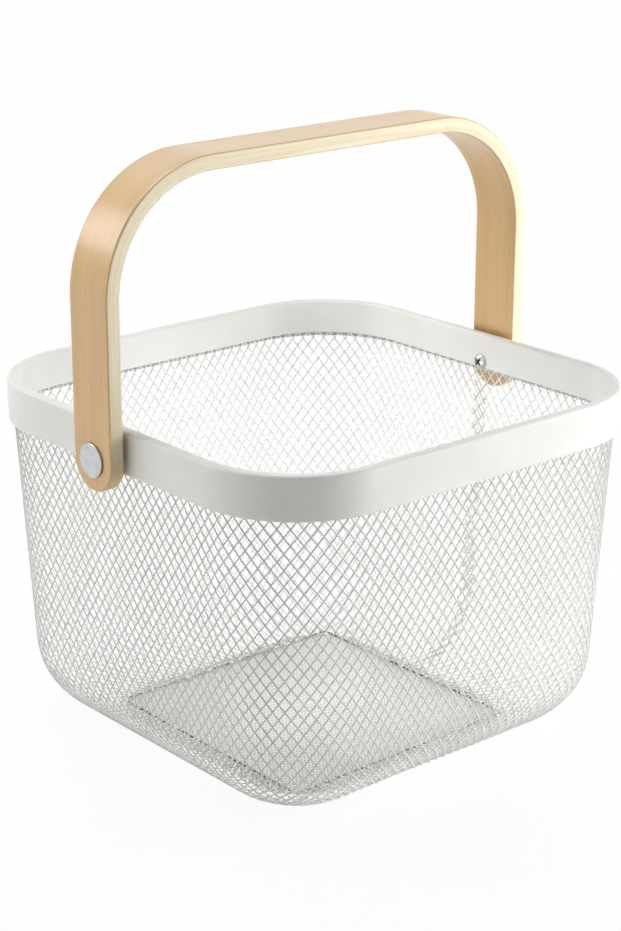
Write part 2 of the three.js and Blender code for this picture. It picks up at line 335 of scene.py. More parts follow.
@dataclass(frozen=True)
class BentBirch:
    """Lacquered birch strip: a tan face, pale sides with plies, and a dark line between.

    The mesh carries "strip", the unrolled place in metres along the strip, across it and through it,
    and "edge", 0 on its faces and 1 on its sides. Scales are per metre, in the same order.
    """

    name: str
    thickness: float
    length: float
    face: Colour = (0.60, 0.37, 0.145)
    face_pale: Colour = (0.68, 0.45, 0.20)
    streak: Colour = (0.47, 0.27, 0.095)
    side: Colour = (0.865, 0.765, 0.55)
    side_dark: Colour = (0.78, 0.65, 0.43)
    end: Colour = (0.52, 0.35, 0.15)
    # painted shade: the colour the sides darken to near the strip's ends, low on the legs beside the band
    line: Colour = (0.34, 0.20, 0.09)
    figure_scale: Triple = (5.0, 60.0, 60.0)
    grain_scale: Triple = (14.0, 620.0, 620.0)
    pore_scale: Triple = (120.0, 3600.0, 3600.0)
    streak_share: float = 0.45
    pore_share: float = 0.30
    glue_share: float = 0.28
    low_shade_share: float = 0.85
    line_share: float = 0.36
    low_shade_reach: float = 30.0 * MM
    plies: int = 5
    ply_shift: float = 50.5  # glue on the middle of the strip, and FRACT kept above 0
    roughness: float = 0.34
    side_roughness: float = 0.16
    lacquer: float = 0.65
    side_lacquer: float = 0.05
    lacquer_roughness: float = 0.24
    relief: float = 0.04 * MM

    def material(self) -> bpy.types.Material:
        """The wood as a material: figure, grain streaks and pores along the strip, plies at the sides, and
        painted shade on the sides near its ends.
        """
        material, graph = new_material(self.name)
        strip = graph.attribute("strip", "Vector")
        edge = graph.attribute("edge")

        figure = graph.noise(graph.stretch(strip, self.figure_scale), 1.0, 3.0, 0.55)
        grain = graph.noise(graph.stretch(strip, self.grain_scale), 1.0, 3.0, 0.6)
        pores = graph.noise(graph.stretch(strip, self.pore_scale), 1.0, 1.0)
        tone = graph.ramp(0.55 * figure + 0.45 * grain, 0.36, 0.64)
        streaks = graph.ramp(grain, 0.56, 0.74) * graph.ramp(figure, 0.35, 0.7)
        pits = graph.ramp(pores, 0.66, 0.78)
        face = graph.mix(tone, self.face, self.face_pale)
        face = graph.mix(self.streak_share * streaks, face, self.streak)
        face = graph.mix(self.pore_share * pits, face, self.streak)

        along = graph.node("ShaderNodeSeparateXYZ", None, {0: strip}, "X")
        depth = graph.node("ShaderNodeSeparateXYZ", None, {0: strip}, "Z")
        ply = graph.math("FRACT", depth * (self.plies / self.thickness) + self.ply_shift)
        glue = 1 - graph.ramp(graph.math("ABSOLUTE", ply - 0.5), 0.02, 0.10)
        inset = graph.math("MINIMUM", along, self.length - along)
        side = graph.mix(graph.ramp(grain, 0.35, 0.75), self.side, self.side_dark)
        side = graph.mix(self.glue_share * glue, side, self.side_dark)
        # painted shade: the sides darken within a reach of the strip's ends, where the band shades the legs
        side = graph.mix(self.low_shade_share * (1 - graph.ramp(inset, 0.0, self.low_shade_reach)), side, self.end)

        wood = graph.mix(graph.ramp(edge, 0.45, 0.75), face, side)
        corner = graph.ramp(edge, 0.25, 0.5) * (1 - graph.ramp(edge, 0.5, 0.8))
        beside = graph.ramp(edge, 0.4, 0.8)
        rough = self.roughness + self.side_roughness * beside
        graph.principled(
            {
                "Base Color": graph.mix(self.line_share * corner, wood, self.line),
                "Roughness": rough + 0.12 * (grain - MIDDLE) + 0.15 * pits,
                "Normal": graph.bump(0.6 * grain - 0.8 * pits, 0.35, self.relief),
                "Coat Weight": self.lacquer - (self.lacquer - self.side_lacquer) * beside,
                "Coat Roughness": self.lacquer_roughness,
            }
        )
        return material


@dataclass(frozen=True)
class PlatedSteel:
    """Bright zinc plated steel with the fine rings of turning about a line along X.

    The mesh may carry "recess", 1 at the bottom of a driver's recess, where a dark colour is painted on as
    the shade in the hollow.
    """

    name: str
    centre: Triple
    bright: Colour = (0.60, 0.605, 0.605)
    dull: Colour = (0.53, 0.535, 0.53)
    dark: Colour = (0.05, 0.05, 0.05)
    roughness: float = 0.19
    ring_gloss: float = 0.08
    cloud_gloss: float = 0.08
    recess_roughness: float = 0.3
    rings_per_metre: float = 4200.0
    clouds_per_metre: float = 260.0
    ring_height: float = 0.004 * MM
    ring_strength: float = 0.25

    def material(self) -> bpy.types.Material:
        """The plating as a material: rings and clouds in its colour and gloss, and painted shade in the
        recess.
        """
        material, graph = new_material(self.name)
        radius = graph.length(graph.place((0.0, 1.0, 1.0), (0.0, -self.centre[1], -self.centre[2])))
        scale = {"W": radius, "Scale": self.rings_per_metre, "Detail": 2.0}
        rings = graph.node("ShaderNodeTexNoise", {"noise_dimensions": "1D"}, scale, "Fac")
        cloud = graph.noise(graph.place(), self.clouds_per_metre, 2.0)
        recess = graph.attribute("recess")
        plate = graph.mix(graph.ramp(cloud, 0.3, 0.75), self.bright, self.dull)
        gloss = self.ring_gloss * (rings - MIDDLE) + self.cloud_gloss * (cloud - MIDDLE)
        graph.principled(
            {
                # painted shade: the recess is painted dark, for the shadow in the hollow
                "Base Color": graph.mix(recess, plate, self.dark),
                "Metallic": 1.0,
                "Roughness": self.roughness + gloss + self.recess_roughness * recess,
                "Normal": graph.bump(rings, self.ring_strength, self.ring_height),
            }
        )
        return material


@dataclass(frozen=True)
class GreyNylon:
    """Moulded nylon, matt and a little mottled."""

    name: str
    body: Colour = (0.20, 0.20, 0.195)
    bloom: Colour = (0.29, 0.29, 0.28)
    roughness: float = 0.55
    mottle_gloss: float = 0.2
    mottles_per_metre: float = 420.0
    grains_per_metre: float = 2600.0
    grain_height: float = 0.02 * MM
    grain_strength: float = 0.3

    def material(self) -> bpy.types.Material:
        """The nylon as a material: mottling and a fine moulded bump."""
        material, graph = new_material(self.name)
        place = graph.place()
        mottle = graph.noise(place, self.mottles_per_metre, 3.0)
        grain = graph.noise(place, self.grains_per_metre, 1.0)
        graph.principled(
            {
                "Base Color": graph.mix(mottle, self.body, self.bloom),
                "Roughness": self.roughness + self.mottle_gloss * (mottle - MIDDLE),
                "Normal": graph.bump(grain, self.grain_strength, self.grain_height),
            }
        )
        return material


# Surfaces


def quad_grid(rows: int, columns: int, close_rows: bool, close_columns: bool) -> Array:
    """Faces of a grid of points numbered row by row.

    Args:
        rows: number of rows.
        columns: points in a row.
        close_rows: the last row joins the first.
        close_columns: the last column joins the first.

    Returns:
        Point numbers, four to a face.
    """
    down = np.arange(rows if close_rows else rows - 1)[:, None]
    right = np.arange(columns if close_columns else columns - 1)[None, :]
    below = (down + 1) % rows
    beside = (right + 1) % columns
    here, under = down * columns, below * columns
    return np.stack([here + right, here + beside, under + beside, under + right], axis=-1).reshape(-1, 4)


def facing_out(points: Array, faces: Array) -> Array:
    """Faces of a closed surface, turned round if they point inwards.

    The sign of the volume tells: the sum over the faces' triangles of a . (b x c).

    Args:
        points: places.
        faces: point numbers, three or four to a face.

    Returns:
        The faces, pointing outwards.
    """
    corners = points[faces]
    volume = 0.0
    for last in range(2, faces.shape[1]):
        volume += np.sum(corners[:, 0] * np.cross(corners[:, last - 1], corners[:, last]))
    return faces if volume > 0 else faces[:, ::-1]


def weld(points: Array, faces: Array) -> Tuple[Array, Array, Array]:
    """Merges points in the same place and drops what shrinks to a line, which closes seams and poles.

    Args:
        points: places.
        faces: point numbers, four to a face.

    Returns:
        The points that stay, triangles of them, and the numbers that they had.
    """
    cells = np.round(points / WELD_STEP).astype(np.int64)
    _, first, became = np.unique(cells, axis=0, return_index=True, return_inverse=True)
    triangles = np.concatenate([faces[:, [0, 1, 2]], faces[:, [0, 2, 3]]])
    triangles = became.reshape(-1)[triangles]
    apart = (triangles != np.roll(triangles, 1, axis=1)).all(axis=1)
    return points[first], triangles[apart], first


def unit(vectors: Array) -> Array:
    """Vectors at length 1."""
    return vectors / np.linalg.norm(vectors, axis=-1, keepdims=True)


def around(steps: int) -> Array:
    """Angles evenly spaced round one turn, from 0."""
    return np.arange(steps) * (2 * np.pi / steps)


def ring(out: Array, sideways: Array, sides: int) -> Array:
    """Directions round a wire at each station: cos(angle) out + sin(angle) sideways."""
    angle = around(sides)[:, None]
    return np.cos(angle) * out[..., None, :] + np.sin(angle) * sideways[..., None, :]


def tubes(paths: Array, outward: Array, radius: float) -> Tuple[Array, Array]:
    """Round wires: a ring of points carried along each path, with closed ends.

    Point = path + radius times a direction of the ring, where sideways = tangent x outward.

    Args:
        paths: wires x stations x 3.
        outward: the same shape, a direction square to the surface that the wires lie on.
        radius: of the wire.

    Returns:
        Points and faces.
    """
    wires, stations = paths.shape[:2]
    tangent = unit(np.gradient(paths, axis=1))
    sideways = unit(np.cross(tangent, outward))
    out = np.cross(sideways, tangent)
    points = (paths[:, :, None, :] + radius * ring(out, sideways, WIRE_SIDES)).reshape(-1, 3)
    start = np.array([[0, 3, 2, 1], [0, 5, 4, 3]])
    end = (stations - 1) * WIRE_SIDES + start[:, ::-1]
    faces = np.concatenate([quad_grid(stations, WIRE_SIDES, False, True), start, end])
    faces = (faces[None] + (np.arange(wires) * stations * WIRE_SIDES)[:, None, None]).reshape(-1, 4)
    return points, facing_out(points, faces)


def hoop(path: Array, outward: Array, radius: float) -> Tuple[Array, Array]:
    """A closed round wire: a ring of points carried round a loop.

    Args:
        path: stations x 3, the last next to the first.
        outward: the same shape, a direction square to the wire.
        radius: of the wire.

    Returns:
        Points and faces.
    """
    tangent = unit(np.roll(path, -1, axis=0) - np.roll(path, 1, axis=0))
    sideways = unit(np.cross(tangent, outward))
    points = (path[:, None, :] + radius * ring(outward, sideways, HOOP_SIDES)).reshape(-1, 3)
    return points, facing_out(points, quad_grid(len(path), HOOP_SIDES, True, True))


def arc(centre: Sequence[float], radius: float, start: float, end: float, steps: int) -> Array:
    """Points on a circle in a plane, from one angle to another in degrees, in so many stretches."""
    angle = np.radians(np.linspace(start, end, steps + 1))
    return np.asarray(centre) + radius * np.stack([np.cos(angle), np.sin(angle)], axis=-1)


def turned(profile: Array, centre: Sequence[float], side: Side) -> Tuple[Array, Array]:
    """A profile turned about a line along X.

    Point = (along, radius cos(angle), radius sin(angle)), moved to the line.

    Args:
        profile: rows of radius and place along X, on the right-hand side.
        centre: where the line runs: y and z.
        side: which pivot; the left one is the right one turned half round.

    Returns:
        Points and triangles.
    """
    angle = around(TURNED_STEPS)
    radius, along = profile[:, 0, None], profile[:, 1, None]
    grid = np.stack([along + 0 * angle, radius * np.cos(angle), radius * np.sin(angle)], axis=-1)
    grid = grid * (side.value, side.value, 1) + (0, *centre)
    points, triangles, _ = weld(grid.reshape(-1, 3), quad_grid(len(profile), TURNED_STEPS, False, True))
    return points, facing_out(points, triangles)


def add_piece(
    name: str,
    points: Array,
    faces: Array,
    material: bpy.types.Material,
    body: Body,
    slot: Slot,
    replaces: Sequence[str] = (),
) -> bpy.types.Object:
    """Makes a smooth-shaded piece of the object that rides on a body.

    Args:
        name: the piece's name.
        points: places in the part's frame.
        faces: point numbers, three or four to a face.
        material: its finish.
        body: what it rides on.
        slot: the record's slot that its finish belongs to; not used.
        replaces: CAD nodes that it stands for.

    Returns:
        The new object.
    """
    count, corners = faces.shape
    mesh = bpy.data.meshes.new(name)
    mesh.vertices.add(len(points))
    mesh.vertices.foreach_set("co", np.ascontiguousarray(points, dtype=np.float32).ravel())
    mesh.loops.add(count * corners)
    mesh.loops.foreach_set("vertex_index", np.ascontiguousarray(faces, dtype=np.int32).ravel())
    mesh.polygons.add(count)
    mesh.polygons.foreach_set("loop_start", np.arange(count, dtype=np.int32) * corners)
    mesh.update(calc_edges=True)
    mesh.polygons.foreach_set("use_smooth", np.ones(count, dtype=bool))
    mesh.materials.append(material)
    piece = bpy.data.objects.new(name, mesh)
    bpy.context.scene.collection.objects.link(piece)
    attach(piece, body.value)
    if replaces:
        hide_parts(*replaces)
    log.info("%s: %d points, %d faces, on %s", name, len(points), count, body.value)
    return piece


def add_attribute(piece: bpy.types.Object, name: str, values: Array) -> None:
    """Gives each point of a piece a number or a vector that its material reads.

    Args:
        piece: the piece.
        name: the attribute's name.
        values: one number, or three, for each point.
    """
    kind, key = ("FLOAT_VECTOR", "vector") if values.ndim == 2 else ("FLOAT", "value")
    attribute = piece.data.attributes.new(name, kind, "POINT")
    attribute.data.foreach_set(key, np.ascontiguousarray(values, dtype=np.float32).ravel())


def round_square(fraction: Array, half: Array, corner: Array) -> Tuple[Array, Array]:
    """Places on a rounded square, evenly spaced along it.

    Fraction 0 is the middle of the +X side, and the way round is counter-clockwise. On each quarter the
    way runs straight for half - corner each way from the middle of the side, then round half a corner.

    Args:
        fraction: how far round, 0 to 1.
        half: half its side.
        corner: its corner radius.

    Returns:
        Places and outward directions, two numbers each.
    """
    straight = half - corner
    share = straight / (straight + corner * np.pi / 4)
    side = np.round(fraction * 4)
    along = (fraction * 4 - side) * 2
    reach = np.abs(along)
    bend = np.sign(along) * np.maximum(reach - share, 0) / (1 - share) * np.pi / 4
    level = np.sign(along) * straight * np.minimum(reach / share, 1)
    x, y = straight + corner * np.cos(bend), level + corner * np.sin(bend)
    turn = side * np.pi / 2
    point = np.stack([x * np.cos(turn) - y * np.sin(turn), x * np.sin(turn) + y * np.cos(turn)], axis=-1)
    outward = np.stack([np.cos(turn + bend), np.sin(turn + bend)], axis=-1)
    return point, outward


# Sub-assemblies


@dataclass
class RimBand:
    """The strip of sheet steel folded over the top edge of the mesh."""

    half: float
    top: float
    bottom: float
    corner: float = 54.0 * MM
    fold: float = 5.5 * MM
    sheet: float = 0.8 * MM
    fold_edge: float = 1.5 * MM
    inner_leaf: float = 17.8 * MM
    leaf_points: int = 9
    fold_steps: int = 7
    hem_steps: int = 5
    stations: int = 520

    def section(self) -> Tuple[Array, Array]:
        """The folded sheet cut through.

        A line goes up the outer leaf, across the fold and down the inner leaf. Half the sheet's
        thickness to each side of it, joined by a round hem at each end, gives the outline.

        Returns:
            The closed outline, as how far in from the outer face and how high, and 1 for each of its
            points that is inside the fold.
        """
        skin = self.sheet / 2
        bend = self.fold_edge - skin
        over = self.top - self.fold_edge
        low = self.top - self.inner_leaf + skin
        up = np.linspace(self.bottom + skin, over, self.leaf_points)
        down = np.linspace(over, low, self.leaf_points)
        outer = np.stack([np.full_like(up, skin), up], axis=-1)[:-1]
        near = arc((self.fold_edge, over), bend, 180, 90, self.fold_steps)
        far = arc((self.fold - self.fold_edge, over), bend, 90, 0, self.fold_steps)
        inner = np.stack([np.full_like(down, self.fold - skin), down], axis=-1)[1:]
        middle = np.concatenate([outer, near, far, inner])
        way = unit(np.gradient(middle, axis=0))
        left = np.stack([-way[:, 1], way[:, 0]], axis=-1)
        foot = arc(middle[0], skin, 0, -180, self.hem_steps)[1:-1]
        hem = arc(middle[-1], skin, 0, -180, self.hem_steps)[1:-1]
        outline = [middle + skin * left, hem, (middle - skin * left)[::-1], foot]
        hidden = [np.zeros(len(middle)), np.zeros(len(hem)), np.ones(len(middle)), np.zeros(len(foot))]
        return np.concatenate(outline), np.concatenate(hidden)

    def build(self, coat: bpy.types.Material) -> None:
        """Carries the section round the rim, a rounded square.

        Args:
            coat: the band's finish.
        """
        outline, hidden = self.section()
        fraction = np.arange(self.stations)[:, None] / self.stations
        inset = outline[None, :, 0]
        place, _ = round_square(fraction, self.half - inset, self.corner - inset)
        height = np.broadcast_to(outline[None, :, 1, None], (*place.shape[:2], 1))
        points = np.concatenate([place, height], axis=-1).reshape(-1, 3)
        faces = facing_out(points, quad_grid(self.stations, len(outline), True, True))
        piece = add_piece("rim_hem", points, faces, coat, Body.BASKET, Slot.POWDER_COAT, ["rim_band"])
        # painted shade: the points inside the fold get a dark colour, for the shadow between the leaves and
        # the mesh
        add_attribute(piece, "painted_shade", np.tile(hidden, self.stations))


@dataclass
class MeshWall:
    """The four walls: two layers of slanting wires that draw in and bend under the basket."""

    rim_half: float
    rim_top: float
    band_bottom: float
    base_half: float
    rim_corner: float = 54.0 * MM
    inset: float = 3.3 * MM
    drop: float = 6.0 * MM
    lap: float = 4.6 * MM
    level_run: float = 3.4 * MM
    foot_height: float = 1.85 * MM
    foot_corner: float = 12.0 * MM
    opening_corner: float = 1.5 * MM
    opening_power: int = 6
    bend_radius: float = 40.0 * MM
    wire: float = 0.70 * MM
    wires: int = 146
    diamond: float = 7.8 * MM
    stations: int = 60
    seam_width: float = 10.0 * MM
    seam_shift: float = 0.25  # of a diamond
    seam_stations: int = 5
    edge_sunk: float = 0.2  # of a wire, inwards
    edge_radius: float = 0.75  # of a wire
    edge_stations: int = 480

    def __post_init__(self) -> None:
        """Works out the wall's line: a tangent from the band to the bend, and a level run after it."""
        bend_inset = self.rim_half - self.base_half + self.lap
        self.foot_inset = bend_inset + self.level_run
        self.in_band = self.rim_top - self.drop - self.band_bottom
        across = bend_inset - self.inset
        fall = self.band_bottom - self.foot_height - self.bend_radius
        self.run = math.sqrt(across**2 + fall**2 - self.bend_radius**2)
        self.lean = math.atan2(across, fall) - math.atan2(self.bend_radius, self.run)
        self.turn = math.pi / 2 - self.lean
        self.length = self.in_band + self.run + self.bend_radius * self.turn + self.level_run

    def place(self, fraction: Array, down: Array, rise: float) -> Tuple[Array, Array]:
        """Points on the wall.

        Going down, the wall drops straight inside the band, leans in by a fixed angle, follows a circle
        until it is level, and runs on level. Its corners tighten evenly with how far it has come in, and
        at the very end, by a high power of that, to the sharp corners of the opening that it leaves.

        Args:
            fraction: how far round, 0 to 1.
            down: how far down along the wall from its top edge.
            rise: how far out from the middle of the mesh.

        Returns:
            Places and outward directions.
        """
        sloped = np.clip(down - self.in_band, 0, self.run)
        past = np.maximum(down - self.in_band - self.run, 0)
        bent = np.minimum(past / self.bend_radius, self.turn)
        level_in = np.maximum(past - self.bend_radius * self.turn, 0)
        angle = np.where(down > self.in_band, self.lean, 0) + bent
        arc_in = self.bend_radius * (np.cos(self.lean) - np.cos(self.lean + bent))
        arc_down = self.bend_radius * (np.sin(self.lean + bent) - np.sin(self.lean))
        inset = self.inset + sloped * np.sin(self.lean) + arc_in + level_in
        height = self.rim_top - self.drop - np.minimum(down, self.in_band)
        height = height - sloped * np.cos(self.lean) - arc_down
        drawn = (inset - self.inset) / (self.foot_inset - self.inset)
        top_corner = self.rim_corner - self.inset
        corner = top_corner + (self.foot_corner - top_corner) * drawn
        corner = corner - (self.foot_corner - self.opening_corner) * drawn**self.opening_power
        level, out = round_square(fraction % 1.0, self.rim_half - inset, corner)
        outward = np.concatenate([out * np.cos(angle)[..., None], -np.sin(angle)[..., None]], axis=-1)
        points = np.concatenate([level, height[..., None]], axis=-1) + outward * rise
        return points, outward

    def layer(self, slant: Slant, rise: float) -> Tuple[Array, Array]:
        """All the wires of one layer: each goes a pitch round for every diamond down.

        Args:
            slant: which way they run.
            rise: where the layer lies, out from the middle of the mesh.

        Returns:
            Points and faces.
        """
        down = np.broadcast_to(np.linspace(0, self.length, self.stations), (self.wires, self.stations))
        start = np.arange(self.wires)[:, None]
        fraction = (start + slant.value * down / self.diamond) / self.wires
        return tubes(*self.place(fraction, down, rise), self.wire / 2)

    def seam(self) -> Tuple[Array, Array]:
        """The second mesh where the strip's two ends lap, on the +X side: short stretches of both layers.

        Returns:
            Points and faces.
        """
        way_round = 8 * self.rim_half
        pitches = self.seam_width * self.wires / way_round
        first = math.ceil((self.in_band / self.diamond) + pitches / 2)
        last = math.floor(self.length / self.diamond - pitches / 2)
        middle = (np.arange(first, last)[:, None] + self.seam_shift) * self.diamond
        step = np.linspace(-0.5, 0.5, self.seam_stations)[None, :] * pitches
        down = middle + step * self.diamond
        made = []
        for slant, wires_in in ((Slant.TO_RIGHT, 1.5), (Slant.TO_LEFT, 2.5)):
            fraction = slant.value * step / self.wires + 0 * middle
            made.append(tubes(*self.place(fraction, down, -wires_in * self.wire), self.wire / 2))
        (points, faces), (more, others) = made
        return np.concatenate([points, more]), np.concatenate([faces, others + len(points)])

    def cut_edge(self) -> Tuple[Array, Array]:
        """The wire along the wall's cut edge, round the opening over the base.

        Returns:
            Points and faces.
        """
        fraction = np.arange(self.edge_stations) / self.edge_stations
        end = np.full_like(fraction, self.length)
        return hoop(*self.place(fraction, end, -self.edge_sunk * self.wire), self.edge_radius * self.wire)

    def build(self, coat: bpy.types.Material, cut: bpy.types.Material) -> None:
        """Makes the outer layer, the inner layer, the seam's lap and the cut edge.

        Args:
            coat: the wires' finish.
            cut: the cut edge's finish.
        """
        # painted light and shade: 1 on the inward side of each wire, painted whiter, and 0 on the outward
        # side, painted greyer
        inward = 0.5 - 0.5 * np.cos(around(WIRE_SIDES))
        dress = (coat, Body.BASKET, Slot.POWDER_COAT)
        for name, slant, rise in (("outer", Slant.TO_RIGHT, 0.5), ("inner", Slant.TO_LEFT, -0.5)):
            points, faces = self.layer(slant, rise * self.wire)
            piece = add_piece(f"wall_mesh_{name}", points, faces, *dress, [f"wall_wires_{name}"])
            add_attribute(piece, "painted_lit_side", np.tile(inward, len(points) // WIRE_SIDES))
        add_piece("wall_mesh_lap", *self.seam(), *dress)
        # the cut edge's dark specks are painted shade along the edge over the base
        add_piece("wall_cut_edge", *self.cut_edge(), cut, Body.BASKET, Slot.POWDER_COAT)


@dataclass
class MeshBase:
    """The flat sheet of mesh under the walls' turned-in edge."""

    half: float
    corner: float = 32.0 * MM
    wire: float = 0.55 * MM
    width: float = 2.2 * MM
    height: float = 2.9 * MM
    samples: int = 3000

    def layer(self, slant: Slant, level: float) -> Tuple[Array, Array]:
        """Straight wires at one angle, cut to the base's rounded square.

        A wire keeps what lies within the outline: max(|x| - s, 0)^2 + max(|y| - s, 0)^2 <= corner^2,
        where s is half the length of a straight side.

        Args:
            slant: which way they run.
            level: height of their middle.

        Returns:
            Points and faces.
        """
        angle = math.atan2(self.height, self.width) * slant.value
        pitch = self.width * math.sin(abs(angle))
        straight = self.half - self.corner
        reach = straight * (abs(math.cos(angle)) + abs(math.sin(angle))) + self.corner - self.wire
        beside = np.arange(-math.floor(reach / pitch), math.floor(reach / pitch) + 1) * pitch
        along = np.linspace(-2 * self.half, 2 * self.half, self.samples)
        way = np.array([math.cos(angle), math.sin(angle)])
        across = np.array([-way[1], way[0]])
        spots = beside[:, None, None] * across + along[None, :, None] * way
        past = np.maximum(np.abs(spots) - straight, 0)
        within = (past**2).sum(axis=-1) <= self.corner**2
        start = along[np.argmax(within, axis=1)]
        end = along[-1 - np.argmax(within[:, ::-1], axis=1)]
        flat = beside[:, None, None] * across + np.stack([start, end], axis=-1)[:, :, None] * way
        paths = np.concatenate([flat, np.full((*flat.shape[:2], 1), level)], axis=-1)
        outward = np.broadcast_to((0.0, 0.0, 1.0), paths.shape)
        return tubes(paths, outward, self.wire / 2)

    def build(self, coat: bpy.types.Material) -> None:
        """Makes both layers, the lower one just clear of the floor.

        Args:
            coat: the wires' finish.
        """
        for name, slant, wires_up in (("lower", Slant.TO_RIGHT, 0.55), ("upper", Slant.TO_LEFT, 1.55)):
            made = self.layer(slant, wires_up * self.wire)
            node = f"base_wires_{name}"
            add_piece(f"base_mesh_{name}", *made, coat, Body.BASKET, Slot.POWDER_COAT, [node])


@dataclass
class BentHandle:
    """The carrying handle: a strip of wood bent twice, with round ends."""

    half_span: float
    half_width: float
    top: float
    bottom: float
    thickness: float = 7.5 * MM
    bend: float = 61.0 * MM
    edge_round: float = 0.9 * MM
    step: float = 2.4 * MM
    end_steps: int = 28
    face_points: int = 6
    round_steps: int = 6
    side_points: int = 3

    def __post_init__(self) -> None:
        """Works out the strip's middle line: leg, bend, bar, bend, leg."""
        self.mid_bend = self.bend - self.thickness / 2
        self.leg = self.top - self.bend - self.bottom
        self.quarter = self.mid_bend * math.pi / 2
        self.bar = 2 * (self.half_span - self.bend)
        self.total = 2 * self.leg + 2 * self.quarter + self.bar

    def bent(self, along: Array, across: Array, through: Array) -> Array:
        """Carries unrolled places onto the bent strip.

        The middle line goes up the right leg, turns 90 degrees to the left, crosses, turns 90 degrees
        again and goes down; across is Y, and through is square to the line, outwards.

        Args:
            along: from the end of the right leg.
            across: from the middle of the strip.
            through: out from the middle of its thickness.

        Returns:
            Places in the part's frame.
        """
        first = np.clip(along - self.leg, 0, self.quarter) / self.mid_bend
        second = np.clip(along - self.leg - self.quarter - self.bar, 0, self.quarter) / self.mid_bend
        crossed = np.clip(along - self.leg - self.quarter, 0, self.bar)
        climbed = np.minimum(along, self.leg)
        fallen = np.maximum(along - self.leg - 2 * self.quarter - self.bar, 0)
        line_x = self.half_span - self.thickness / 2 - self.mid_bend * (1 - np.cos(first)) - crossed
        line_x = line_x - self.mid_bend * np.sin(second)
        line_z = self.bottom + climbed + self.mid_bend * (np.sin(first) - 1 + np.cos(second)) - fallen
        turn = first + second
        return np.stack([line_x + through * np.cos(turn), across, line_z + through * np.sin(turn)], axis=-1)

    def profile(self) -> Tuple[Array, Array]:
        """Half of the strip's section, from the middle of the outer face round its side to the inner face.

        Returns:
            Places as how far out and how far through, and how much of a side each is, 0 to 1.
        """
        end, skin, soft = self.half_width, self.thickness / 2, self.edge_round
        out = np.linspace(0, end - soft, self.face_points + 1)[:-1]
        down = np.linspace(skin - soft, soft - skin, self.side_points + 2)[1:-1]
        face = np.stack([out, np.full_like(out, skin)], axis=-1)
        over = arc((end - soft, skin - soft), soft, 90, 0, self.round_steps)
        side = np.stack([np.full_like(down, end), down], axis=-1)
        upper = np.concatenate([face, over])
        sharp = np.concatenate([np.zeros(self.face_points), np.linspace(0, 1, self.round_steps + 1)])
        section = np.concatenate([upper, side, (upper * (1, -1))[::-1]])
        return section, np.concatenate([sharp, np.ones(self.side_points), sharp[::-1]])

    def build(self, wood: bpy.types.Material) -> None:
        """Makes the strip: its profile carried round its unrolled outline, then bent.

        The outline is two long sides and two half circles about a spine, and each point lies out from
        the spine in the direction of the outline there.

        Args:
            wood: the strip's finish.
        """
        end = self.half_width
        runs = round((self.total - 2 * end) / self.step)
        middle = np.linspace(end, self.total - end, runs + 1)
        turn = np.linspace(0, np.pi, self.end_steps + 1)[1:-1]
        spine = [middle, np.full_like(turn, middle[-1]), middle[::-1], np.full_like(turn, end)]
        spine = np.concatenate(spine)[:, None]
        heading = np.concatenate([np.full(len(middle), np.pi / 2), np.pi / 2 - turn])
        heading = np.concatenate([heading, heading - np.pi])[:, None]

        profile, sharp = self.profile()
        along = spine + profile[:, 0] * np.cos(heading)
        across = profile[:, 0] * np.sin(heading)
        through = np.broadcast_to(profile[:, 1], along.shape)
        strip = np.stack([along, across, through], axis=-1).reshape(-1, 3)
        edge = np.broadcast_to(sharp, along.shape).reshape(-1)
        strip, triangles, kept = weld(strip, quad_grid(len(spine), len(profile), True, False))
        points = self.bent(strip[:, 0], strip[:, 1], strip[:, 2])
        faces = facing_out(points, triangles)
        piece = add_piece("bent_handle", points, faces, wood, Body.HANDLE, Slot.BIRCH, ["handle"])
        add_attribute(piece, "strip", strip)
        add_attribute(piece, "edge", edge[kept])


